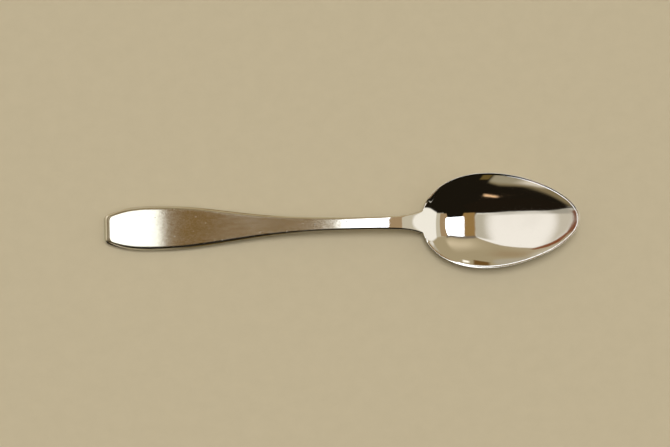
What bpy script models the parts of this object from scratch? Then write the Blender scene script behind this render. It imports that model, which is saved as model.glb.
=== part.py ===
"""Teaspoon: one pressed blank of stainless steel, modelled as its bowl, neck and handle.

Metres, +Z up. The spoon lies along X with its bowl upwards, as it rests on a table:
handle end at -X, tip of the bowl at +X, table at Z = 0 under its middle.
A station is a distance along the spoon from the handle's end.
"""

import math

import bmesh
import bpy
import numpy as np

# Lengths of the three stretches
HANDLE_LENGTH = 0.0620
NECK_LENGTH = 0.0255
BOWL_LENGTH = 0.0426

# Plan of the handle and neck
END_WIDTH = 0.0070
END_CORNER = 0.0009
HANDLE_WIDTH = 0.0122
WIDEST_FROM_END = 0.0148
TAPER_LENGTH = 0.0268
WAIST_WIDTH = 0.0033
ROOT_WIDTH = 0.0066
ROOT_FLARE = 0.0031

# Plan of the bowl
BOWL_WIDTH = 0.0260
EGG_SKEW = 0.37
RIM_WIDTH = 0.0005
RIM_RUN_IN = 0.0015

# Side view: heights of the upper face above the table
END_HEIGHT = 0.00185
REST_FROM_END = 0.0160
RISE_HEIGHT = 0.00267
RISE_FROM_END = 0.0280
CLIMB_HEIGHT = 0.00394
CLIMB_FROM_END = 0.0460
CROWN_HEIGHT = 0.00604
CROWN_FROM_ROOT = 0.0140
CREST_DROP = 0.00092
CREST_LENGTH = 0.0130
SHOULDER_DROP = 0.00058
SHOULDER_FROM_ROOT = 0.0040
ROOT_DROP = 0.00185
ROOT_WING = 0.0001
RUN_OUT_DROP = 0.0023
RUN_OUT_RISE = 0.0070
HEEL_RIM_DROP = 0.0018
TIP_HEIGHT = 0.0076
RIM_SAG = 0.0002

# Hollow of the bowl; its keel is given as places from heel (-1) to tip (1) and shares of the depth
BOTTOM_THICKNESS = 0.00118
RIM_THICKNESS = 0.0004
RIM_TILT = 0.00006
DEEPEST_ALONG = -0.60
KEEL = [(-1.0, 0.0), (-0.86, 0.7113), (-0.74, 0.9565), (DEEPEST_ALONG, 1.0), (-0.42, 0.9783),
        (-0.20, 0.8687), (0.20, 0.5955), (0.60, 0.322), (0.85, 0.135), (1.0, 0.0)]
TRUSTED_ALONG = 0.98
WALL_FLARE = 0.7
HEEL_FLARE = 1.0
SHOULDER_ROUNDING = 0.0004
SHOULDER_TIGHTENING = 0.5
DROP_ROUNDING = 0.0003

# Section of the handle and neck
END_THICKNESS = 0.0016
REST_THICKNESS = 0.0020
NECK_THICKNESS = 0.0027
EDGE_THICKNESS = 0.0009
BORDER_WIDTH = 0.00085
END_BORDER = 0.0012
NECK_BORDER = 0.0004
BORDER_SLOPE = 0.45
HANDLE_SQUARENESS = 4.0
NECK_SQUARENESS = 2.2
WEAR_DEPTH = 0.00005

# Fineness of the mesh: rings along each stretch and strips across it
HANDLE_RINGS = 34
NECK_RINGS = 16
BOWL_RINGS = 36
BODY_STRIPS = 8
BOWL_STRIPS = 20

SATIN = {"color": (0.60, 0.57, 0.53, 1.0), "roughness": 0.32}
POLISHED = {"color": (0.72, 0.70, 0.67, 1.0), "roughness": 0.12}
MIRROR = {"color": (0.80, 0.78, 0.76, 1.0), "roughness": 0.04}

ROOT = HANDLE_LENGTH + NECK_LENGTH
LENGTH = ROOT + BOWL_LENGTH
CROWN = ROOT - CROWN_FROM_ROOT


def smooth_step(share):
    """0 below 0, 1 above 1, and an easy curve between."""
    share = min(max(share, 0.0), 1.0)
    return share * share * (3 - 2 * share)


def smooth_min(a, b, rounding):
    """The lower of two heights. Rounding is how much is taken off the crease where they meet."""
    near = max(1 - abs(a - b) / (6 * rounding), 0.0)
    return min(a, b) - rounding * near ** 3


def natural_spline(points):
    """A curve through the points whose bend changes without a jump."""
    x, y = np.array(points, dtype=float).T
    count = len(x)
    step = np.diff(x)
    matrix = np.identity(count)
    right = np.zeros(count)
    for i in range(1, count - 1):
        matrix[i, i - 1:i + 2] = step[i - 1], 2 * (step[i - 1] + step[i]), step[i]
        right[i] = 6 * ((y[i + 1] - y[i]) / step[i] - (y[i] - y[i - 1]) / step[i - 1])
    bend = np.linalg.solve(matrix, right)

    def height(station):
        i = min(max(int(np.searchsorted(x, station)) - 1, 0), count - 2)
        before = station - x[i]
        after = x[i + 1] - station
        cubic = (bend[i] * after ** 3 + bend[i + 1] * before ** 3) / (6 * step[i])
        start = (y[i] / step[i] - bend[i] * step[i] / 6) * after
        return cubic + start + (y[i + 1] / step[i] - bend[i + 1] * step[i] / 6) * before

    return height


REST_HEIGHT = REST_THICKNESS - WEAR_DEPTH

# The last two points only guide how the neck runs out into the hollow
back_line = natural_spline([
    (0.0, END_HEIGHT),
    (REST_FROM_END, REST_HEIGHT),
    (RISE_FROM_END, RISE_HEIGHT),
    (CLIMB_FROM_END, CLIMB_HEIGHT),
    (CROWN - CREST_LENGTH, CROWN_HEIGHT - CREST_DROP),
    (CROWN, CROWN_HEIGHT),
    (ROOT - SHOULDER_FROM_ROOT, CROWN_HEIGHT - SHOULDER_DROP),
    (ROOT, CROWN_HEIGHT - ROOT_DROP),
    (ROOT + BOWL_LENGTH / 4, CROWN_HEIGHT - RUN_OUT_DROP),
    (LENGTH, CROWN_HEIGHT + RUN_OUT_RISE),
])


def fullness(station):
    """1 at the handle's widest place, fading to 0 along its taper."""
    past = max(station - WIDEST_FROM_END, 0.0) / TAPER_LENGTH
    return math.exp(-past * past)


def end_corner(station):
    """How far the round corner of the handle's end cuts in from its side."""
    to_corner = max(1 - station / END_CORNER, 0.0)
    return END_CORNER * (1 - math.sqrt(1 - to_corner ** 2))


def body_half_width(station):
    """Half the width of the handle and neck."""
    if station < WIDEST_FROM_END:
        to_widest = 1 - station / WIDEST_FROM_END
        half = END_WIDTH / 2 + (HANDLE_WIDTH - END_WIDTH) / 2 * (1 - to_widest ** 3)
        return half - end_corner(station)
    half = WAIST_WIDTH / 2 + (HANDLE_WIDTH - WAIST_WIDTH) / 2 * fullness(station)
    flare = (ROOT_WIDTH - WAIST_WIDTH) / 2
    if station < ROOT:
        return half + flare * math.exp((station - ROOT) / ROOT_FLARE)
    return half + flare * (2 - math.exp((ROOT - station) / ROOT_FLARE))


def thickness(station):
    thick = END_THICKNESS + (REST_THICKNESS - END_THICKNESS) * smooth_step(station / REST_FROM_END)
    swell = smooth_step((station - REST_FROM_END) / (CROWN - REST_FROM_END))
    thick += (NECK_THICKNESS - REST_THICKNESS) * swell
    fade = smooth_step((station - ROOT) / (BOWL_LENGTH / 3))
    return thick + (BOTTOM_THICKNESS - NECK_THICKNESS) * fade


def border(station):
    """Width of the polished border that slopes down to the handle's edge."""
    return NECK_BORDER + (BORDER_WIDTH - NECK_BORDER) * math.sqrt(fullness(station))


def neck_top(station, y):
    """Upper face of the handle and neck, which turns up at its sides towards the bowl."""
    turned_up = smooth_step((station - CROWN) / CROWN_FROM_ROOT)
    return back_line(station) + turned_up * ROOT_WING * (y / (ROOT_WIDTH / 2)) ** 4


def neck_underside(station, y):
    square = NECK_SQUARENESS + (HANDLE_SQUARENESS - NECK_SQUARENESS) * math.sqrt(fullness(station))
    across = abs(y) / body_half_width(station)
    rise = (thickness(station) - EDGE_THICKNESS) * across ** square
    return back_line(station) - thickness(station) + rise


EGG_WIDEST = -EGG_SKEW / (1 + math.sqrt(1 + 3 * EGG_SKEW ** 2))
EGG_PEAK = (1 - EGG_WIDEST ** 2) * (1 - EGG_SKEW * EGG_WIDEST)


def egg(along):
    """Half width of the bowl as a share of its greatest, for along from -1 to 1."""
    return math.sqrt(max((1 - along ** 2) * (1 - EGG_SKEW * along), 0.0) / EGG_PEAK)


def egg_back():
    """Station where the bowl's egg would close if the neck did not run into it."""
    near, far = 0.0, BOWL_LENGTH / 4
    for _ in range(40):
        guess = (near + far) / 2
        half = (BOWL_LENGTH + guess) / 2
        if egg(guess / half - 1) * BOWL_WIDTH < ROOT_WIDTH:
            near = guess
        else:
            far = guess
    return ROOT - guess


EGG_HALF = (LENGTH - egg_back()) / 2
EGG_MIDDLE = LENGTH - EGG_HALF
DEEPEST = EGG_MIDDLE + EGG_HALF * DEEPEST_ALONG
keel_share = natural_spline(KEEL)


def hollow(station, y, rim_width):
    """How deep a dished surface lies, from 0 on the rim to 1 at its deepest point."""
    along = (station - EGG_MIDDLE) / (EGG_HALF - rim_width)
    inside = min(max(along, -TRUSTED_ALONG), TRUSTED_ALONG)
    flare = WALL_FLARE + HEEL_FLARE * smooth_step(-inside)
    full_flare = math.sqrt(flare ** 2 + 1) - flare
    fill = (keel_share(inside) * full_flare + flare) ** 2 - flare ** 2
    fill /= 1 - inside ** 2
    centre = 1 - inside ** 2 - 2 * inside * (along - inside)
    narrow = EGG_PEAK / (1 - EGG_SKEW * inside)
    level = fill * (centre - narrow * (y / (BOWL_WIDTH / 2 - rim_width)) ** 2)
    if level < 0:
        return level / (2 * flare * full_flare)
    return (math.sqrt(flare ** 2 + level) - flare) / full_flare


def rim_line(station):
    """Height of the bowl's rim, which rises a little from heel to tip and sags between."""
    share = (station - ROOT) / BOWL_LENGTH
    heel = CROWN_HEIGHT - HEEL_RIM_DROP
    return heel + (TIP_HEIGHT - heel) * share - 4 * RIM_SAG * share * (1 - share)


def shoulder_rounding(y):
    """How broadly the neck's back turns into the hollow: tighter towards its sides."""
    return SHOULDER_ROUNDING * (1 - SHOULDER_TIGHTENING * smooth_step(abs(y) / (ROOT_WIDTH / 2)))


def top(station, y):
    """Height of the upper face: the neck's back running down into the hollow."""
    depth = rim_line(DEEPEST) - BOTTOM_THICKNESS
    inside = rim_line(station) - depth * hollow(station, y, RIM_WIDTH)
    return smooth_min(neck_top(station, y), inside, shoulder_rounding(y))


def underside(station, y):
    """Height of the lower face, worn flat where it touches the table."""
    depth = rim_line(DEEPEST) - RIM_THICKNESS + WEAR_DEPTH
    outside = rim_line(station) - RIM_THICKNESS - depth * hollow(station, y, 0.0)
    return max(smooth_min(neck_underside(station, y), outside, DROP_ROUNDING), 0.0)


def edge_height(station, y, drop):
    """Height of the outer edge of the border or rim."""
    rim = rim_line(max(station, ROOT)) + max(ROOT - station, 0.0)
    return smooth_min(neck_top(station, y), rim, shoulder_rounding(y)) - drop


def ring(station, half, top_station, top_half, drop, strips):
    """One closed loop of points round the spoon."""
    shares = [2 * i / strips - 1 for i in range(strips + 1)]
    upper = [(top_station, s * top_half, top(top_station, s * top_half)) for s in shares]
    lower = [(station, -s * half, underside(station, s * half)) for s in shares]
    edge = edge_height(station, half, drop)
    points = upper + [(station, half, edge)] + lower + [(station, -half, edge)]
    return [(x - LENGTH / 2, y, z) for x, y, z in points]


def body_ring(station):
    """A ring of the handle or neck, whose border also runs round the handle's end."""
    half = body_half_width(station)
    to_widest = max(1 - station / WIDEST_FROM_END, 0.0)
    top_station = station + END_BORDER * to_widest ** 2
    top_half = body_half_width(top_station) - border(top_station) - end_corner(station)
    drop = BORDER_SLOPE * border(station)
    return ring(station, half, top_station, top_half, drop, BODY_STRIPS)


def bowl_ring(along):
    """A ring of the bowl, for along from the root to 1 at the tip."""
    station = EGG_MIDDLE + EGG_HALF * along
    half = BOWL_WIDTH / 2 * egg(along)
    run_in = smooth_step((station - ROOT) / RIM_RUN_IN)
    top_station = station - run_in * RIM_WIDTH * along
    inset = (1 - run_in) * border(ROOT) + run_in * RIM_WIDTH * egg(along)
    drop = (1 - run_in) * BORDER_SLOPE * border(ROOT) - run_in * RIM_TILT
    return ring(station, half, top_station, half - inset, drop, BOWL_STRIPS)


def finish_object(name, bm, finish):
    mesh = bpy.data.meshes.new(name)
    bm.to_mesh(mesh)
    bm.free()
    mesh.shade_smooth()
    mesh.set_sharp_from_angle(angle=math.radians(28))
    material = bpy.data.materials.new(name + "_steel")
    material.use_nodes = True
    shader = material.node_tree.nodes["Principled BSDF"]
    shader.inputs["Base Color"].default_value = finish["color"]
    shader.inputs["Roughness"].default_value = finish["roughness"]
    shader.inputs["Metallic"].default_value = 1.0
    mesh.materials.append(material)
    bpy.context.scene.collection.objects.link(bpy.data.objects.new(name, mesh))


def loft(name, rings, strips, finish, split_front=False):
    """Skin the rings and close both ends; a ring that is one point closes itself."""
    bm = bmesh.new()
    loops = [[bm.verts.new(point) for point in points] for points in rings]
    for one, two in zip(loops, loops[1:]):
        for i in range(len(one)):
            j = (i + 1) % len(one)
            bm.faces.new((one[i], one[j], two[j], two[i]))
    front = loops[0]
    if split_front:
        bm.faces.new(front[:strips + 2] + front[-1:])
        bm.faces.new(front[strips + 1:])
    else:
        bm.faces.new(front)
    bm.faces.new(loops[-1])
    bmesh.ops.remove_doubles(bm, verts=bm.verts, dist=1e-7)
    bmesh.ops.recalc_face_normals(bm, faces=bm.faces)
    finish_object(name, bm, finish)


def make_handle():
    stations = [HANDLE_LENGTH * (i / HANDLE_RINGS) ** 1.5 for i in range(HANDLE_RINGS + 1)]
    loft("handle", [body_ring(s) for s in stations], BODY_STRIPS, SATIN, split_front=True)


def make_neck():
    shares = [i / NECK_RINGS for i in range(NECK_RINGS + 1)]
    stations = [HANDLE_LENGTH + NECK_LENGTH * share * (2 - share) for share in shares]
    loft("neck", [body_ring(s) for s in stations], BODY_STRIPS, POLISHED)


def make_bowl():
    start = math.acos((ROOT - EGG_MIDDLE) / EGG_HALF)
    turns = [start * (1 - i / BOWL_RINGS) for i in range(BOWL_RINGS + 1)]
    loft("bowl", [bowl_ring(math.cos(turn)) for turn in turns], BOWL_STRIPS, MIRROR)


def main():
    for old in list(bpy.data.objects):
        bpy.data.objects.remove(old)
    make_handle()
    make_neck()
    make_bowl()


main()
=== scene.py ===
"""Looks of the teaspoon: finely modelled handle, neck and bowl in stainless steel, on a plain pale floor.

Metres, +Z up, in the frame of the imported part. A station is a distance along the spoon from the
handle's end. The shape follows the same named sizes and formulas as the part's own source.
"""

import math

import bpy
import numpy as np
from mathutils import Euler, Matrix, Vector


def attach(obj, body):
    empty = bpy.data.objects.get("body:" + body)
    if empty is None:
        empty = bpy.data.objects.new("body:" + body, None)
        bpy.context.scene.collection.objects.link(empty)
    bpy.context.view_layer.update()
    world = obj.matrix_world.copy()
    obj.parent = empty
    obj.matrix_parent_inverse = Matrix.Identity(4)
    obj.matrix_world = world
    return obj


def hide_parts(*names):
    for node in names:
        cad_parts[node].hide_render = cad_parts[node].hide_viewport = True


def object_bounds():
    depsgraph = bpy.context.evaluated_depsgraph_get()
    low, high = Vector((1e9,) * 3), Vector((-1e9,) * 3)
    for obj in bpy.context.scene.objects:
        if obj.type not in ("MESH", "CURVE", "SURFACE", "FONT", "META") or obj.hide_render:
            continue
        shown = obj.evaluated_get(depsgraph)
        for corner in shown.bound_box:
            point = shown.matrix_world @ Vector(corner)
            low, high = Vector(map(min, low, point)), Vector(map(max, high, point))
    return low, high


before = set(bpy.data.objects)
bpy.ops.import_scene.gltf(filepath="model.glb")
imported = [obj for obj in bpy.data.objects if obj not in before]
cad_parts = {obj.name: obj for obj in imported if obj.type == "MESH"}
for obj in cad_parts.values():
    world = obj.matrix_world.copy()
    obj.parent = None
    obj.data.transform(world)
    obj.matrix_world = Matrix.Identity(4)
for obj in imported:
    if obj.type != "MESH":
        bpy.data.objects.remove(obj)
cad_box = [list(corner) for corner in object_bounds()]

# Lengths of the three stretches
HANDLE_LENGTH = 0.0620
NECK_LENGTH = 0.0255
BOWL_LENGTH = 0.0426

# Plan of the handle and neck
END_WIDTH = 0.0070
END_CORNER = 0.0009
HANDLE_WIDTH = 0.0122
WIDEST_FROM_END = 0.0148
TAPER_LENGTH = 0.0268
WAIST_WIDTH = 0.0033
ROOT_WIDTH = 0.0066
ROOT_FLARE = 0.0031

# Plan of the bowl
BOWL_WIDTH = 0.0260
EGG_SKEW = 0.37
RIM_WIDTH = 0.0005
RIM_RUN_IN = 0.0015

# Side view
END_HEIGHT = 0.00185
REST_FROM_END = 0.0160
RISE_HEIGHT = 0.00267
RISE_FROM_END = 0.0280
CLIMB_HEIGHT = 0.00394
CLIMB_FROM_END = 0.0460
CROWN_HEIGHT = 0.00604
CROWN_FROM_ROOT = 0.0140
CREST_DROP = 0.00092
CREST_LENGTH = 0.0130
SHOULDER_DROP = 0.00058
SHOULDER_FROM_ROOT = 0.0040
ROOT_DROP = 0.00185
ROOT_WING = 0.0001
RUN_OUT_DROP = 0.0023
RUN_OUT_RISE = 0.0070
HEEL_RIM_DROP = 0.0018
TIP_HEIGHT = 0.0076
RIM_SAG = 0.0002

# Hollow of the bowl
BOTTOM_THICKNESS = 0.00118
RIM_THICKNESS = 0.0004
RIM_TILT = 0.00006
DEEPEST_ALONG = -0.60
KEEL = [(-1.0, 0.0), (-0.86, 0.7113), (-0.74, 0.9565), (DEEPEST_ALONG, 1.0), (-0.42, 0.9783),
        (-0.20, 0.8687), (0.20, 0.5955), (0.60, 0.322), (0.85, 0.135), (1.0, 0.0)]
TRUSTED_ALONG = 0.98
WALL_FLARE = 0.7
HEEL_FLARE = 1.0
SHOULDER_ROUNDING = 0.0004
SHOULDER_TIGHTENING = 0.5
DROP_ROUNDING = 0.0003

# Section of the handle and neck
END_THICKNESS = 0.0016
REST_THICKNESS = 0.0020
NECK_THICKNESS = 0.0027
EDGE_THICKNESS = 0.0009
BORDER_WIDTH = 0.00085
END_BORDER = 0.0012
NECK_BORDER = 0.0004
BORDER_SLOPE = 0.45
HANDLE_SQUARENESS = 4.0
NECK_SQUARENESS = 2.2
WEAR_DEPTH = 0.00005

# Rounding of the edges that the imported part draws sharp. A crease share is a part of the border's
# width, the bulge a part of its fall, and a rounding takes at most this part of an edge's height.
CREASE_SHARE = 0.42
RIM_CREASE_SHARE = 0.20
EDGE_RADIUS = 0.00008
RIM_EDGE_RADIUS = 0.00009
RIM_DIP = 0.00005
BORDER_BULGE = 0.30
ROUNDED_AT_MOST = 0.45

# Fineness: rings along the spoon, closer together at the handle's end, strips across it, steps of a
# rounding and of the border
HANDLE_RINGS = 170
END_CROWDING = 1.3
NECK_RINGS = 80
BOWL_RINGS = 230
BODY_STRIPS = 28
BOWL_STRIPS = 96
ROUND_STEPS = 4
BORDER_STEPS = 5
SIDE_COUNT = 3 * (ROUND_STEPS + 1) + BORDER_STEPS
SLOPE_STEP = 0.000005
SAME_PLACE_DIGITS = 9

# Material places on every piece
FACE, BORDER = 0, 1

# Steels: tint with painted light, roughness, strength of the brushing, and how far that draws reflections
# out crosswise
# The satin's tint is darker and browner than polished steel: painted reflection of the brown and dark that
# the brushed handle mirrors
SATIN = {"tint_and_painted_light": (0.50, 0.465, 0.375), "roughness": 0.14, "streaks": 1.0, "anisotropic": 0.85}
# The borders' tint is paler and warmer than the bowl's polish: painted highlight
EDGES = {"tint_and_painted_light": (0.88, 0.85, 0.79), "roughness": 0.10, "streaks": 0.4}
# The rim's tint is darker than the bowl's polish: painted shade on the rim
RIM = {"tint_and_painted_light": (0.66, 0.62, 0.55), "roughness": 0.08, "streaks": 0.4}
MIRROR = {"tint_and_painted_light": (0.82, 0.80, 0.78), "roughness": 0.035, "streaks": 0.15}
NECK_POLISH_ROUGHNESS = 0.07
NECK_POLISH_FROM_END = 0.0715
CROSSWISE_SCALE = 10

# Noises of the steel, in waves per metre along the spoon, across it and up, and their bumps' depths
FINE_STREAKS = (60.0, 14000.0, 14000.0)
BROAD_STREAKS = (18.0, 5000.0, 5000.0)
CLOUDS = (160.0, 240.0, 240.0)
SCRATCHES = (300.0, 16000.0, 16000.0)
PITS = (1500.0, 1500.0, 1500.0)
GRAIN = (700.0, 2200.0, 2200.0)
STREAK_DEPTH = 0.000002
GRAIN_DEPTH = 0.000005

# What the noises do to the surface, to its roughness and to its tint
FINE_SHARE = 0.55
SCRATCH_RANGE = 0.66, 0.74
PIT_RANGE = 0.835, 0.86
STREAK_RANGE = 0.30, 0.70
CLOUD_RANGE = 0.52, 0.75
SCRATCH_HEIGHT = -0.4
LEAST_BRUSHING = 0.05
FULL_BRUSHING = 0.20
STREAK_ROUGHNESS = 1.2
CLOUD_ROUGHNESS = 0.35
SCRATCH_ROUGHNESS = 0.05
LEAST_SCRATCH = 0.01
PIT_ROUGHNESS = 0.4
DARK_STREAK = 0.10
PALE_STREAK = 0.06
WORN_TINT = 0.93
WORN_SHARE = 0.25

# Floor
FLOOR_REACH = 4.0
FLOOR_GAP = 0.00003
FLOOR_MOTTLE = (220.0, 260.0, 220.0)
FLOOR_COLOURS = (0.525, 0.470, 0.348, 1.0), (0.575, 0.515, 0.385, 1.0)
FLOOR_ROUGHNESS = 0.85
FLOOR_SPECULAR = 0.15

# Soft light from the north, for the floor and the shadow
LIGHT_HEIGHT = 76
LIGHT_EAST = 0.05
LIGHT_SPREAD = 24
LIGHT_STRENGTH = 1.4
LIGHT_COLOUR = (1.0, 0.97, 0.92)

# Camera, straight above as in the photograph
CAMERA_PLACE = (-0.00155, 0.00015, 0.600)
CAMERA_TURN = -1.345
CAMERA_LENS = 117.0
CAMERA_RANGE = 0.01, 50.0

ROOT = HANDLE_LENGTH + NECK_LENGTH
LENGTH = ROOT + BOWL_LENGTH
CROWN = ROOT - CROWN_FROM_ROOT
REST_HEIGHT = REST_THICKNESS - WEAR_DEPTH


def smooth_step(share):
    share = np.clip(share, 0.0, 1.0)
    return share * share * (3 - 2 * share)


def smooth_min(a, b, rounding):
    near = np.maximum(1 - np.abs(a - b) / (6 * rounding), 0.0)
    return np.minimum(a, b) - rounding * near ** 3


def natural_spline(points):
    x, y = np.array(points, dtype=float).T
    count = len(x)
    step = np.diff(x)
    matrix = np.identity(count)
    right = np.zeros(count)
    for i in range(1, count - 1):
        matrix[i, i - 1:i + 2] = step[i - 1], 2 * (step[i - 1] + step[i]), step[i]
        right[i] = 6 * ((y[i + 1] - y[i]) / step[i] - (y[i] - y[i - 1]) / step[i - 1])
    bend = np.linalg.solve(matrix, right)

    def height(station):
        i = np.clip(np.searchsorted(x, station) - 1, 0, count - 2)
        before = station - x[i]
        after = x[i + 1] - station
        cubic = (bend[i] * after ** 3 + bend[i + 1] * before ** 3) / (6 * step[i])
        start = (y[i] / step[i] - bend[i] * step[i] / 6) * after
        return cubic + start + (y[i + 1] / step[i] - bend[i + 1] * step[i] / 6) * before

    return height


back_line = natural_spline([
    (0.0, END_HEIGHT),
    (REST_FROM_END, REST_HEIGHT),
    (RISE_FROM_END, RISE_HEIGHT),
    (CLIMB_FROM_END, CLIMB_HEIGHT),
    (CROWN - CREST_LENGTH, CROWN_HEIGHT - CREST_DROP),
    (CROWN, CROWN_HEIGHT),
    (ROOT - SHOULDER_FROM_ROOT, CROWN_HEIGHT - SHOULDER_DROP),
    (ROOT, CROWN_HEIGHT - ROOT_DROP),
    (ROOT + BOWL_LENGTH / 4, CROWN_HEIGHT - RUN_OUT_DROP),
    (LENGTH, CROWN_HEIGHT + RUN_OUT_RISE),
])


def fullness(station):
    past = np.maximum(station - WIDEST_FROM_END, 0.0) / TAPER_LENGTH
    return np.exp(-past * past)


def end_corner(station):
    to_corner = np.clip(1 - station / END_CORNER, 0.0, 1.0)
    return END_CORNER * (1 - np.sqrt(1 - to_corner ** 2))


def body_half_width(station):
    to_widest = np.maximum(1 - station / WIDEST_FROM_END, 0.0)
    leaf = END_WIDTH / 2 + (HANDLE_WIDTH - END_WIDTH) / 2 * (1 - to_widest ** 3)
    leaf = leaf - end_corner(station)
    slim = WAIST_WIDTH / 2 + (HANDLE_WIDTH - WAIST_WIDTH) / 2 * fullness(station)
    past_root = np.exp(-np.abs(station - ROOT) / ROOT_FLARE)
    flare = np.where(station < ROOT, past_root, 2 - past_root)
    slim = slim + (ROOT_WIDTH - WAIST_WIDTH) / 2 * flare
    return np.where(station < WIDEST_FROM_END, leaf, slim)


def thickness(station):
    thick = END_THICKNESS + (REST_THICKNESS - END_THICKNESS) * smooth_step(station / REST_FROM_END)
    swell = smooth_step((station - REST_FROM_END) / (CROWN - REST_FROM_END))
    fade = smooth_step((station - ROOT) / (BOWL_LENGTH / 3))
    thick = thick + (NECK_THICKNESS - REST_THICKNESS) * swell
    return thick + (BOTTOM_THICKNESS - NECK_THICKNESS) * fade


def border(station):
    return NECK_BORDER + (BORDER_WIDTH - NECK_BORDER) * np.sqrt(fullness(station))


def neck_top(station, y):
    turned_up = smooth_step((station - CROWN) / CROWN_FROM_ROOT)
    return back_line(station) + turned_up * ROOT_WING * (y / (ROOT_WIDTH / 2)) ** 4


def neck_underside(station, y):
    square = NECK_SQUARENESS + (HANDLE_SQUARENESS - NECK_SQUARENESS) * np.sqrt(fullness(station))
    across = np.abs(y) / body_half_width(station)
    raised = (thickness(station) - EDGE_THICKNESS) * across ** square
    return back_line(station) - thickness(station) + raised


EGG_WIDEST = -EGG_SKEW / (1 + math.sqrt(1 + 3 * EGG_SKEW ** 2))
EGG_PEAK = (1 - EGG_WIDEST ** 2) * (1 - EGG_SKEW * EGG_WIDEST)


def egg(along):
    return np.sqrt(np.maximum((1 - along ** 2) * (1 - EGG_SKEW * along), 0.0) / EGG_PEAK)


def egg_back():
    near, far = 0.0, BOWL_LENGTH / 4
    for _ in range(40):
        guess = (near + far) / 2
        half = (BOWL_LENGTH + guess) / 2
        if egg(guess / half - 1) * BOWL_WIDTH < ROOT_WIDTH:
            near = guess
        else:
            far = guess
    return ROOT - guess


EGG_HALF = (LENGTH - egg_back()) / 2
EGG_MIDDLE = LENGTH - EGG_HALF
DEEPEST = EGG_MIDDLE + EGG_HALF * DEEPEST_ALONG
keel_share = natural_spline(KEEL)


def hollow(station, y, rim_width):
    along = (station - EGG_MIDDLE) / (EGG_HALF - rim_width)
    inside = np.clip(along, -TRUSTED_ALONG, TRUSTED_ALONG)
    flare = WALL_FLARE + HEEL_FLARE * smooth_step(-inside)
    full_flare = np.sqrt(flare ** 2 + 1) - flare
    fill = (keel_share(inside) * full_flare + flare) ** 2 - flare ** 2
    fill = fill / (1 - inside ** 2)
    centre = 1 - inside ** 2 - 2 * inside * (along - inside)
    narrow = EGG_PEAK / (1 - EGG_SKEW * inside)
    level = fill * (centre - narrow * (y / (BOWL_WIDTH / 2 - rim_width)) ** 2)
    dished = (np.sqrt(flare ** 2 + np.maximum(level, 0)) - flare) / full_flare
    return np.where(level < 0, level / (2 * flare * full_flare), dished)


def rim_line(station):
    share = (station - ROOT) / BOWL_LENGTH
    heel = CROWN_HEIGHT - HEEL_RIM_DROP
    return heel + (TIP_HEIGHT - heel) * share - 4 * RIM_SAG * share * (1 - share)


def shoulder_rounding(y):
    return SHOULDER_ROUNDING * (1 - SHOULDER_TIGHTENING * smooth_step(np.abs(y) / (ROOT_WIDTH / 2)))


def top(station, y):
    depth = rim_line(DEEPEST) - BOTTOM_THICKNESS
    inside = rim_line(station) - depth * hollow(station, y, RIM_WIDTH)
    return smooth_min(neck_top(station, y), inside, shoulder_rounding(y))


def underside(station, y):
    depth = rim_line(DEEPEST) - RIM_THICKNESS + WEAR_DEPTH
    outside = rim_line(station) - RIM_THICKNESS - depth * hollow(station, y, 0.0)
    return np.maximum(smooth_min(neck_underside(station, y), outside, DROP_ROUNDING), 0.0)


def edge_height(station, y, drop):
    rim = rim_line(np.maximum(station, ROOT)) + np.maximum(ROOT - station, 0.0)
    return smooth_min(neck_top(station, y), rim, shoulder_rounding(y)) - drop


def body_plan(station):
    """Border of the handle and neck at a station.

    Gives station and half width of its outer line, the same of its inner line, how far it falls, its
    width, radius of its outer edge, share of its width that the crease's rounding takes, and how far
    the crease lies under the face."""
    half, width = body_half_width(station), border(station)
    to_widest = np.maximum(1 - station / WIDEST_FROM_END, 0.0)
    inner = station + END_BORDER * to_widest ** 2
    inner_half = body_half_width(inner) - border(inner) - end_corner(station)
    radius, crease, dip = (value + 0 * station for value in (EDGE_RADIUS, CREASE_SHARE, 0.0))
    return station, half, inner, inner_half, BORDER_SLOPE * width, width, radius, crease, dip


def bowl_plan(along):
    """The same for the bowl, whose border is its rim. Along is -1 to 1 over the egg's length."""
    station = EGG_MIDDLE + EGG_HALF * along
    half = BOWL_WIDTH / 2 * egg(along)
    run_in = smooth_step((station - ROOT) / RIM_RUN_IN)
    inner = station - run_in * RIM_WIDTH * along
    inset = (1 - run_in) * border(ROOT) + run_in * RIM_WIDTH * egg(along)
    drop = (1 - run_in) * BORDER_SLOPE * border(ROOT) - run_in * RIM_TILT
    width = (1 - run_in) * border(ROOT) + run_in * RIM_WIDTH
    radius = EDGE_RADIUS + run_in * (RIM_EDGE_RADIUS - EDGE_RADIUS)
    crease = CREASE_SHARE + run_in * (RIM_CREASE_SHARE - CREASE_SHARE)
    return station, half, inner, half - inset, drop, width, radius, crease, run_in * RIM_DIP


UPWARDS = np.array([0.0, 0.0, 1.0])


def place(station, y, z):
    return np.stack([station - LENGTH / 2, y, z], axis=-1)


def rounded(before, corner, after):
    """Points along a curve that rounds a corner, from before to after, both included."""
    t = np.linspace(0, 1, ROUND_STEPS + 1)[:, None]
    before, corner, after = before[..., None, :], corner[..., None, :], after[..., None, :]
    return (1 - t) ** 2 * before + 2 * t * (1 - t) * corner + t * t * after


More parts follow.
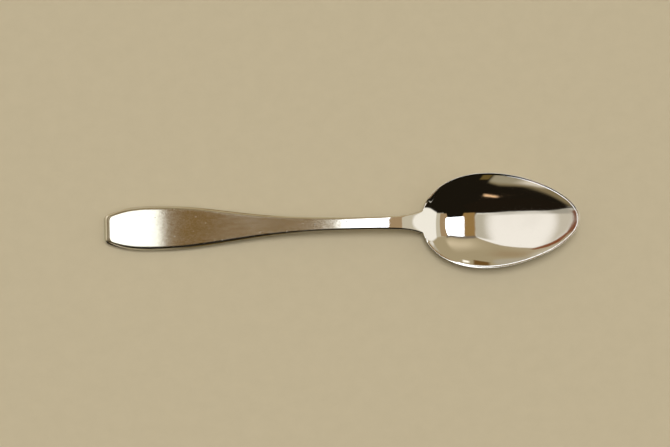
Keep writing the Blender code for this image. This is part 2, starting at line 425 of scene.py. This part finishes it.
def side(plan, across):
    """Points down one side, from the upper face over border, edge and wall to the underside.

    Across is 1 on the side itself, and less between the sides of the handle's end."""
    station, half, inner, inner_half, drop, width, edge_radius, crease_share, dip = plan
    half, inner_half = half * across, inner_half * across

    def spot(inset):
        return station + inset * (inner - station), half + inset * (inner_half - half)

    face = place(*spot(1 + crease_share), top(*spot(1 + crease_share)))
    brow = place(*spot(1.0), top(*spot(1.0)) - dip)
    edge = place(station, half, edge_height(station, half, drop))
    low = place(station, half, underside(station, half))
    radius = np.minimum(edge_radius, ROUNDED_AT_MOST * (edge - low)[..., 2])
    edge_share = (radius / width)[..., None]
    under = spot(radius / width)
    rise = UPWARDS * radius[..., None]

    def slope(share):
        swell = np.abs(drop)[..., None] * BORDER_BULGE * share * (1 - share)
        return brow + (edge - brow) * share + UPWARDS * swell

    crease_share, edge_share = crease_share[..., None], 1 - edge_share
    steps = np.linspace(0, 1, BORDER_STEPS + 2)[1:-1]
    middle = [slope(crease_share + (edge_share - crease_share) * step) for step in steps]
    return np.concatenate([
        rounded(face, brow, slope(crease_share)),
        np.stack(middle, axis=-2),
        rounded(slope(edge_share), edge, edge - rise),
        rounded(low + rise, low, place(*under, underside(*under))),
    ], axis=-2)


def rings(plan, strips):
    """Closed loops of points round the spoon: upper face, one side, underside, other side."""
    right = side(plan, 1.0)
    left = right[:, ::-1, :] * np.array([1.0, -1.0, 1.0])

    def row(edge, height, way):
        station = np.repeat(edge[:, :1] + LENGTH / 2, strips + 1, axis=1)
        y = way * edge[:, 1:2] * np.linspace(-1, 1, strips + 1)
        return place(station, y, height(station, y))

    upper = row(right[:, 0], top, 1)
    lower = row(right[:, -1], underside, -1)
    return np.concatenate([upper, right[:, 1:-1], lower, left[:, 1:-1]], axis=1)


def loop_length(strips):
    return 2 * (strips + SIDE_COUNT - 1)


def loft_faces(ring_count, loop):
    """Quads between neighbouring rings, wound outwards."""
    i, j = np.meshgrid(np.arange(ring_count - 1), np.arange(loop), indexing="ij")
    after = (j + 1) % loop
    quads = np.stack([(i + 1) * loop + j, (i + 1) * loop + after, i * loop + after, i * loop + j], axis=-1)
    return quads.reshape(-1, 4)


def point_normals(points, faces):
    diagonal = points[faces[:, 2]] - points[faces[:, 0]]
    other = points[faces[:, 3]] - points[faces[:, 1]]
    face_normals = np.cross(diagonal, other)
    normals = np.zeros_like(points)
    for corner in range(4):
        np.add.at(normals, faces[:, corner], face_normals)
    return normals / np.maximum(np.linalg.norm(normals, axis=1, keepdims=True), 1e-30)


def face_slope_normals(height, points):
    """Exact normals of a height function at points."""
    station, y, step = points[:, 0] + LENGTH / 2, points[:, 1], SLOPE_STEP
    along = (height(station + step, y) - height(station - step, y)) / (2 * step)
    across = (height(station, y + step) - height(station, y - step)) / (2 * step)
    normals = np.stack([-along, -across, np.ones_like(along)], axis=1)
    return normals / np.linalg.norm(normals, axis=1, keepdims=True)


def merge(points):
    """The different places among the points, and which of them each point is at."""
    places, merged = np.unique(np.round(points, SAME_PLACE_DIGITS), axis=0, return_inverse=True)
    return places, merged.reshape(-1)


def make_mesh(name, points, quads, normals, zones, caps):
    """A closed mesh with smooth sides and flat end caps, which are (corners, direction)."""
    places, merged = merge(points)
    sources = np.zeros(len(places), int)
    sources[merged[::-1]] = np.arange(len(points))[::-1]
    polygons, polygon_zones, polygon_normals = [], [], []
    for quad, zone in zip(quads, zones):
        corners = list(dict.fromkeys(merged[quad]))
        if len(corners) > 2:
            polygons.append(corners)
            polygon_zones.append(zone)
            polygon_normals.append(None)
    for cap, direction in caps:
        polygons.append(list(dict.fromkeys(merged[cap])))
        polygon_zones.append(FACE)
        polygon_normals.append(direction)
    points = np.clip(points, cad_box[0], cad_box[1])
    mesh = bpy.data.meshes.new(name)
    mesh.from_pydata(points[sources].tolist(), [], [list(map(int, p)) for p in polygons])
    mesh.polygons.foreach_set("use_smooth", np.ones(len(mesh.polygons), bool))
    mesh.polygons.foreach_set("material_index", np.array(polygon_zones, np.int32))
    cap_edges = set()
    for polygon, direction in zip(mesh.polygons, polygon_normals):
        if direction:
            cap_edges.update(polygon.edge_keys)
    sharp = mesh.attributes.new("sharp_edge", "BOOLEAN", "EDGE")
    sharp.data.foreach_set("value", np.array([e.key in cap_edges for e in mesh.edges], bool))
    loop_normals = np.zeros((len(mesh.loops), 3))
    for polygon, direction in zip(mesh.polygons, polygon_normals):
        for loop in polygon.loop_indices:
            corner = mesh.loops[loop].vertex_index
            loop_normals[loop] = direction or normals[sources[corner]]
    mesh.normals_split_custom_set(loop_normals.tolist())
    crosswise = mesh.uv_layers.new(name="crosswise")
    corners = np.zeros(len(mesh.loops), np.int32)
    mesh.loops.foreach_get("vertex_index", corners)
    flat = points[sources][corners][:, 1::-1] * CROSSWISE_SCALE
    crosswise.data.foreach_set("uv", flat.astype(np.float32).reshape(-1))
    piece = bpy.data.objects.new(name, mesh)
    bpy.context.scene.collection.objects.link(piece)
    return piece


def face_bands(strips):
    """Where the upper face and the underside are in a ring."""
    low = strips + SIDE_COUNT - 1
    return slice(0, strips + 1), slice(low, low + strips + 1)


def exact_face_normals(normals, points, strips):
    """Put the height functions' own normals on the upper face and the underside."""
    normals, points = (values.reshape(-1, loop_length(strips), 3) for values in (normals, points))
    for band, height, sign in zip(face_bands(strips), (top, underside), (1.0, -1.0)):
        exact = sign * face_slope_normals(height, points[:, band].reshape(-1, 3))
        normals[:, band] = exact.reshape(-1, strips + 1, 3)
    return normals.reshape(-1, 3)


def side_zones(ring_count, strips):
    """Material places: face above, with its rounded crease, and below, and border in between."""
    zone = np.full(loop_length(strips), BORDER)
    zone[:strips + ROUND_STEPS] = FACE
    zone[-ROUND_STEPS:] = FACE
    zone[face_bands(strips)[1]][:-1] = FACE
    return np.tile(zone, ring_count - 1)


def tube(plan_of, params, strips, open_start, open_end):
    """Points, normals, quads and zones of a stretch. At an open end the next stretch goes on.

    One more ring past each open end makes the normals there agree with the next stretch."""
    before = [params[0] - (params[1] - params[0])] if open_start else []
    after = [2 * params[-1] - params[-2]] if open_end else []
    params_and_more = np.concatenate([before, params, after])
    loop = loop_length(strips)
    points = rings(plan_of(params_and_more), strips).reshape(-1, 3)
    normals = point_normals(points, loft_faces(len(params_and_more), loop))
    normals = exact_face_normals(normals, points, strips)
    kept = slice(len(before) * loop, (len(before) + len(params)) * loop)
    return points[kept], normals[kept], loft_faces(len(params), loop), side_zones(len(params), strips)


def start_cap(strips):
    return range(loop_length(strips)), (-1.0, 0.0, 0.0)


def end_cap(strips, count):
    """The cap on the last of the first count points' rings."""
    return range(count)[:-loop_length(strips) - 1:-1], (1.0, 0.0, 0.0)


def make_handle():
    stations = HANDLE_LENGTH * np.linspace(0, 1, HANDLE_RINGS + 1) ** END_CROWDING
    points, normals, quads, zones = tube(body_plan, stations, BODY_STRIPS, False, True)
    base, loop, columns = len(points), loop_length(BODY_STRIPS), BODY_STRIPS + 1

    # The handle's end: the same fall from face to underside, drawn across the end
    end_plan = tuple(np.full(columns, float(v)) for v in body_plan(np.array(0.0)))
    end = side(end_plan, np.linspace(-1, 1, columns))
    i, j = np.meshgrid(np.arange(SIDE_COUNT - 1), np.arange(BODY_STRIPS), indexing="ij")
    corner = (base + i * columns + j).reshape(-1)
    end_quads = np.stack([corner, corner + 1, corner + columns + 1, corner + columns], axis=-1)
    end_zones = np.where(i < ROUND_STEPS, FACE, BORDER).reshape(-1)
    points = np.concatenate([points, end.transpose(1, 0, 2).reshape(-1, 3)])
    quads = np.concatenate([quads, end_quads])
    zones = np.concatenate([zones, end_zones])

    # Normals over the handle and its end together, weighted alike where they meet
    places, merged = merge(points)
    all_normals = point_normals(places, merged[quads])[merged]
    all_normals[loop:base] = normals[loop:]
    for band in face_bands(BODY_STRIPS):
        all_normals[band] = normals[band]
    for source in range(base, len(points)):
        match = np.flatnonzero(merged[:loop] == merged[source])
        if len(match):
            all_normals[source] = all_normals[match[0]]
    return make_mesh("handle_steel", points, quads, all_normals, zones, [end_cap(BODY_STRIPS, base)])


def make_neck():
    stations = HANDLE_LENGTH + NECK_LENGTH * np.linspace(0, 1, NECK_RINGS + 1)
    points, normals, quads, zones = tube(body_plan, stations, BODY_STRIPS, True, True)
    caps = [start_cap(BODY_STRIPS), end_cap(BODY_STRIPS, len(points))]
    return make_mesh("neck_steel", points, quads, normals, zones, caps)


def make_bowl():
    start = math.acos((ROOT - EGG_MIDDLE) / EGG_HALF)
    along = np.cos(start * (1 - np.linspace(0, 1, BOWL_RINGS + 1)))
    along[-1] = 1.0
    points, normals, quads, zones = tube(bowl_plan, along, BOWL_STRIPS, True, False)
    loop = loop_length(BOWL_STRIPS)
    normals[-loop:] = normals[-2 * loop:-loop]
    return make_mesh("bowl_steel", points, quads, normals, zones, [start_cap(BOWL_STRIPS)])


class Shader:
    """Short hand for building a node tree."""

    def __init__(self, tree):
        self.tree = tree
        tree.nodes.clear()

    def add(self, kind, inputs=None, **settings):
        made = self.tree.nodes.new(kind)
        for key, value in settings.items():
            setattr(made, key, value)
        for key, value in (inputs or {}).items():
            if isinstance(value, bpy.types.NodeSocket):
                self.tree.links.new(value, made.inputs[key])
            else:
                made.inputs[key].default_value = value
        return made

    def math(self, operation, *values):
        made = self.add("ShaderNodeMath", dict(enumerate(values)), operation=operation)
        return made.outputs[0]

    def ramp(self, value, low, high, to_low=0.0, to_high=1.0, smooth=True):
        kind = "SMOOTHSTEP" if smooth else "LINEAR"
        made = self.add("ShaderNodeMapRange", {0: value, 1: low, 2: high, 3: to_low, 4: to_high},
                        interpolation_type=kind)
        return made.outputs[0]

    def mix(self, share, a, b):
        made = self.add("ShaderNodeMix", {0: share, 6: a, 7: b}, data_type="RGBA")
        return made.outputs[2]

    def noise(self, where, scale, detail=2.0, roughness=0.5):
        stretched = self.add("ShaderNodeMapping", {0: where, 3: scale}).outputs[0]
        made = self.add("ShaderNodeTexNoise", {"Vector": stretched, "Scale": 1.0, "Detail": detail,
                                               "Roughness": roughness})
        return made.outputs[0]


def linear(red, green, blue):
    """A colour given as it shows on screen, 0 to 255."""
    shown = np.array([red, green, blue]) / 255
    return (*np.where(shown <= 0.04045, shown / 12.92, ((shown + 0.055) / 1.055) ** 2.4), 1.0)


def steel(name, tint_and_painted_light, roughness, streaks, anisotropic=0.0, polish=None):
    """Stainless steel: lengthwise brushing, fine scratches, small pits and slight unevenness.

    Polish gives the stations between which the finish turns into the neck's polish."""
    material = bpy.data.materials.new(name)
    material.use_nodes = True
    s = Shader(material.node_tree)
    out = s.add("ShaderNodeOutputMaterial")
    where = s.add("ShaderNodeTexCoord").outputs["Object"]
    fine = s.noise(where, FINE_STREAKS, 3.0, 0.6)
    broad = s.noise(where, BROAD_STREAKS)
    cloud = s.noise(where, CLOUDS, 3.0, 0.55)
    grain = s.noise(where, GRAIN, 2.0, 0.6)
    scratched = s.ramp(s.noise(where, SCRATCHES, 1.0), *SCRATCH_RANGE)
    pitted = s.ramp(s.noise(where, PITS, 0.0), *PIT_RANGE)
    streak = s.math("MULTIPLY", broad, 1 - FINE_SHARE)
    streak = s.math("MULTIPLY_ADD", fine, FINE_SHARE, streak)

    rough = s.math("MULTIPLY_ADD", s.math("SUBTRACT", streak, 0.5), roughness * streaks * STREAK_ROUGHNESS,
                   roughness)
    rough = s.math("MULTIPLY_ADD", scratched, SCRATCH_ROUGHNESS * streaks + LEAST_SCRATCH, rough)
    rough = s.math("MULTIPLY_ADD", s.math("SUBTRACT", cloud, 0.5), roughness * CLOUD_ROUGHNESS, rough)
    rough = s.math("MULTIPLY_ADD", pitted, PIT_ROUGHNESS * streaks, rough)

    # Colour from the tint, which holds painted light: darker and browner on the satin, paler on the
    # borders, darker on the rim
    dark = tuple(c * (1 - DARK_STREAK * streaks) for c in tint_and_painted_light)
    pale = tuple(min(c * (1 + PALE_STREAK * streaks), 1.0) for c in tint_and_painted_light)
    worn = tuple(c * WORN_TINT for c in tint_and_painted_light)
    colour = s.mix(s.ramp(streak, *STREAK_RANGE, smooth=False), (*dark, 1.0), (*pale, 1.0))
    colour = s.mix(s.math("MULTIPLY", s.ramp(cloud, *CLOUD_RANGE), WORN_SHARE), colour, (*worn, 1.0))

    if polish:
        x = s.add("ShaderNodeSeparateXYZ", {0: where}).outputs[0]
        polished = s.ramp(x, polish[0] - LENGTH / 2, polish[1] - LENGTH / 2)
        rough = s.math("MULTIPLY", rough, s.math("SUBTRACT", 1.0, polished))
        rough = s.math("MULTIPLY_ADD", polished, NECK_POLISH_ROUGHNESS, rough)
        colour = s.mix(polished, colour, (*MIRROR["tint_and_painted_light"], 1.0))

    uneven = s.add("ShaderNodeBump", {"Height": grain, "Strength": 1.0, "Distance": GRAIN_DEPTH * streaks})
    brushing = LEAST_BRUSHING + (FULL_BRUSHING - LEAST_BRUSHING) * streaks
    brushed = s.add("ShaderNodeBump", {"Height": s.math("MULTIPLY_ADD", scratched, SCRATCH_HEIGHT, streak),
                                       "Strength": brushing, "Distance": STREAK_DEPTH,
                                       "Normal": uneven.outputs[0]})
    shader = s.add("ShaderNodeBsdfPrincipled", {"Base Color": colour, "Metallic": 1.0, "Roughness": rough,
                                                "Normal": brushed.outputs[0]})
    if anisotropic:
        shader.inputs["Anisotropic"].default_value = anisotropic
        tangent = s.add("ShaderNodeTangent", direction_type="UV_MAP", uv_map="crosswise")
        s.tree.links.new(tangent.outputs[0], shader.inputs["Tangent"])
    s.tree.links.new(shader.outputs[0], out.inputs[0])
    return material


def make_floor():
    mesh = bpy.data.meshes.new("floor")
    corners = [(-FLOOR_REACH, -FLOOR_REACH), (FLOOR_REACH, -FLOOR_REACH), (FLOOR_REACH, FLOOR_REACH),
               (-FLOOR_REACH, FLOOR_REACH)]
    mesh.from_pydata([(*corner, -FLOOR_GAP) for corner in corners], [], [(0, 1, 2, 3)])
    floor = bpy.data.objects.new("floor", mesh)
    bpy.context.scene.collection.objects.link(floor)
    material = bpy.data.materials.new("pale_floor")
    material.use_nodes = True
    s = Shader(material.node_tree)
    out = s.add("ShaderNodeOutputMaterial")
    where = s.add("ShaderNodeTexCoord").outputs["Object"]
    colour = s.mix(s.noise(where, FLOOR_MOTTLE, 4.0, 0.6), *FLOOR_COLOURS)
    shader = s.add("ShaderNodeBsdfPrincipled", {"Base Color": colour, "Roughness": FLOOR_ROUGHNESS,
                                                "Specular IOR Level": FLOOR_SPECULAR})
    s.tree.links.new(shader.outputs[0], out.inputs[0])
    mesh.materials.append(material)


# The room that the steel mirrors, as soft-edged panels, each painted over those before it:
# (corners, softness, colour as it shows, strength). Corners are (east, north) in degrees from straight
# up, counter-clockwise. Upper and lower are as in the photograph.
LIT = 1.25
PANELS = [
    # The tan room in the north and west, its far side, and a glow in the west
    ([(-190, 19), (190, 19), (190, 190), (-190, 190)],
     1.5, (160, 146, 114), LIT),
    ([(-17, 0), (-17, 190), (-190, 190), (-190, -40), (-25, -12)],
     1.5, (168, 154, 126), LIT),
    ([(-190, -60), (-42, -60), (-42, 60), (-190, 60)],
     4, (150, 142, 116), LIT),
    ([(-27.5, 40), (-39, 50), (-39, -6), (-27.5, -6)],
     2.5, (212, 202, 180), LIT),
    # Soft tan, north of the field and the window
    ([(-17.8, 30.9), (-15.4, 28.6), (-10.4, 39.7), (-15.8, 37.3)],
     3, (150, 130, 98), LIT),
    ([(-10.2, 24.7), (14.3, 40.2), (13, 48.1), (-9.3, 29.9)],
     5.5, (210, 194, 162), LIT),
    # The pale field, its dimmer west and south sides, the dark south of it, its dimmer east side
    ([(-12.3, 18.8), (-17.7, 25.9), (-18.7, 23.5), (-19.9, 20.1), (-20.9, 16.5), (-21.7, 11.5),
      (-22.1, 7.2), (-22.3, -10.4), (-21.9, -10.7), (-18, -9.9), (-14.7, -8.9)],
     0.3, (238, 233, 222), LIT),
    ([(-18.7, -9.8), (-18.9, 24), (-21.6, 12), (-22.3, 0), (-22.3, -9.8)],
     0.9, (190, 182, 164), LIT),
    ([(-22.3, -12.5), (-17.6, -10.7), (-17.7, -4.5), (-22, -5.1)],
     1.1, (156, 151, 136), LIT),
    ([(-17.6, -6.7), (-22.1, -11.2), (-20.5, -14), (-14, -22), (-5, -22), (-12.7, -9.7)],
     0.35, (27, 21, 13), LIT),
    ([(-14.3, -8.2), (-12.3, 18.6), (-15.3, 19.1), (-16.8, 9.9), (-17.3, 4.3), (-17.4, -1.3), (-17.2,
      -6.4)],
     1.1, (178, 171, 152), LIT),
    # The pale wall to the east
    ([(10.2, -18.4), (59.9, -24.4), (66.4, 44.8), (16.7, 32.6)],
     1.6, (188, 180, 158), LIT),
    ([(150, -55), (150, 80), (46.2, 40), (37.8, -23.2), (71, -34)],
     3, (236, 232, 219), LIT),
    # Two brown bars, the window between them, and a dark line north of it
    ([(-7.9, -11), (-5.7, 21.6), (-12.2, 18.4), (-14, 9.4), (-14.6, 0.3), (-14, -9.3)],
     0.35, (143, 113, 66), LIT),
    ([(20, -19.2), (24.2, 34.2), (4.9, 28.8), (-1.7, -2.6), (3.1, -15.5)],
     0.5, (156, 132, 98), LIT),
    ([(-8.9, -0), (-8.4, -6), (1, -7.8), (3.6, -5.8), (5.4, 19.2), (5, 28.6), (-5.7, 21.3), (-8, 10.8)],
     0.4, (242, 248, 255), 3.4),
    ([(-12.5, 17.5), (8.5, 29), (10.4, 33.1), (-11.7, 20.5)],
     1, (112, 102, 88), LIT),
    # Red-brown edge of the pale field
    ([(-19.2, 26.3), (-18.8, 23.4), (-17.5, 26.8), (-17.6, 28)],
     0.12, (122, 70, 42), LIT),
    ([(-21, 22.3), (-20.2, 19.6), (-18.7, 23.7), (-19.1, 26.5)],
     0.12, (122, 70, 42), LIT),
    ([(-20.9, 22.8), (-22.1, 14.1), (-21.7, 12.1), (-20, 20)],
     0.12, (122, 70, 42), LIT),
    ([(-22, 2.5), (-21.5, 12.9), (-22.1, 14.8), (-22.9, 7), (-22.9, 2.5)],
     0.1, (116, 66, 40), LIT),
    ([(-24.6, -11.5), (-22, -8.2), (-22, 4.5), (-24.6, 4.5)],
     0.1, (106, 56, 32), LIT),
    # Far south, mirrored by the bowl's upper rim
    ([(-17.6, -29.5), (-21.1, -45.5), (-17.6, -53.3), (-6.7, -68), (-8.8, -44)],
     0.9, (124, 110, 80), LIT),
    ([(-21, -44.5), (-17.3, -30), (-22.3, -12), (-29, -21.8), (-27.4, -37.3)],
     0.9, (124, 110, 80), LIT),
    ([(-15.7, -35.2), (-18.7, -54.2), (-13.3, -63.9), (-7.3, -70.6), (-8.4, -46.2)],
     1.2, (150, 141, 116), LIT),
    ([(-24.2, -42.2), (-18.7, -54.2), (-15.7, -35.3), (-17.2, -32.4), (-19.1, -29.5)],
     1.6, (208, 198, 178), LIT),
    ([(-2.4, -53.9), (-7.1, -49.9), (-6.5, -67.7), (-0.5, -72.5)],
     0.8, (98, 80, 40), LIT),
    # A warm streak in the dark south
    ([(-16, -21), (-15.7, -22.9), (-11.8, -29), (-12.6, -26.1)],
     0.35, (240, 196, 148), LIT),
    # Far north, mirrored by the bowl's lower rim: a highlight, a brown patch and two pale strips
    ([(6.8, 59), (12.4, 60.8), (14.7, 65.2), (8.4, 62.7)],
     1, (250, 244, 228), 1.4),
    ([(-6.2, 51.9), (1.9, 54.2), (5.9, 64), (-4.2, 59.8)],
     0.9, (104, 76, 38), LIT),
    ([(-7, 62.4), (-18.6, 45), (-17.2, 37), (-8.7, 47.4)],
     1.5, (166, 157, 136), LIT),
    ([(-18.6, 45), (-23.5, 31), (-21.3, 24.6), (-17.3, 34)],
     1.5, (186, 178, 158), LIT),
]
# The room where no panel reaches, and the shortest level part of a direction that is divided by
DARK_ROOM = (0.012, 0.009, 0.005, 1.0)
LEAST_LEVEL = 0.0001


def make_room():
    """A world that paints the panels by direction, in degrees from straight up towards east and north."""
    world = bpy.data.worlds.new("studio")
    bpy.context.scene.world = world
    world.use_nodes = True
    s = Shader(world.node_tree)
    out = s.add("ShaderNodeOutputWorld")
    direction = s.add("ShaderNodeTexCoord").outputs["Generated"]
    parts = s.add("ShaderNodeSeparateXYZ", {0: direction})
    x, y, z = parts.outputs[0], parts.outputs[1], parts.outputs[2]
    steep = s.math("MULTIPLY", s.math("ARCCOSINE", z), 180 / math.pi)
    level = s.math("SQRT", s.math("ADD", s.math("MULTIPLY", x, x), s.math("MULTIPLY", y, y)))
    spread = s.math("DIVIDE", steep, s.math("MAXIMUM", level, LEAST_LEVEL))
    east = s.math("MULTIPLY", x, spread)
    north = s.math("MULTIPLY", y, spread)
    colour = DARK_ROOM
    for corners, soft, shown, strength in PANELS:
        mask = 1.0
        for (east_1, north_1), (east_2, north_2) in zip(corners, corners[1:] + corners[:1]):
            span = math.hypot(east_2 - east_1, north_2 - north_1)
            a, b = (north_1 - north_2) / span, (east_2 - east_1) / span
            inside = s.math("MULTIPLY_ADD", north, b, -a * east_1 - b * north_1)
            inside = s.math("MULTIPLY_ADD", east, a, inside)
            mask = s.math("MULTIPLY", mask, s.ramp(inside, -soft, soft))
        glow = tuple(c * strength for c in linear(*shown)[:3]) + (1.0,)
        colour = s.mix(mask, colour, glow)
    background = s.add("ShaderNodeBackground", {"Color": colour, "Strength": 1.0})
    s.tree.links.new(background.outputs[0], out.inputs[0])


def make_light():
    data = bpy.data.lights.new("soft_key", "SUN")
    data.angle = math.radians(LIGHT_SPREAD)
    data.energy = LIGHT_STRENGTH
    data.color = LIGHT_COLOUR
    key = bpy.data.objects.new("soft_key", data)
    bpy.context.scene.collection.objects.link(key)
    height = math.radians(LIGHT_HEIGHT)
    toward = Vector((LIGHT_EAST, math.cos(height), math.sin(height)))
    key.rotation_euler = toward.to_track_quat("Z", "Y").to_euler()
    key.location = toward
    key.visible_glossy = False


def make_camera():
    data = bpy.data.cameras.new("camera")
    data.lens = CAMERA_LENS
    data.clip_start, data.clip_end = CAMERA_RANGE
    camera = bpy.data.objects.new("camera", data)
    camera.location = CAMERA_PLACE
    camera.rotation_euler = Euler((0.0, 0.0, math.radians(CAMERA_TURN)))
    bpy.context.scene.collection.objects.link(camera)
    bpy.context.scene.camera = camera


def dress(piece, node, materials):
    for material in materials:
        piece.data.materials.append(material)
    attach(piece, "root")
    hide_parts(node)


satin = steel("satin_steel", **SATIN)
fading = steel("neck_steel", **SATIN, polish=(HANDLE_LENGTH, NECK_POLISH_FROM_END))
edges = steel("border_steel", **EDGES)
rim = steel("rim_steel", **RIM)
mirror = steel("mirror_steel", **MIRROR)

dress(make_handle(), "handle", [satin, edges])
dress(make_neck(), "neck", [fading, edges])
dress(make_bowl(), "bowl", [mirror, rim])
make_floor()
make_room()
make_light()
make_camera()
bpy.context.scene.view_settings.view_transform = "Standard"
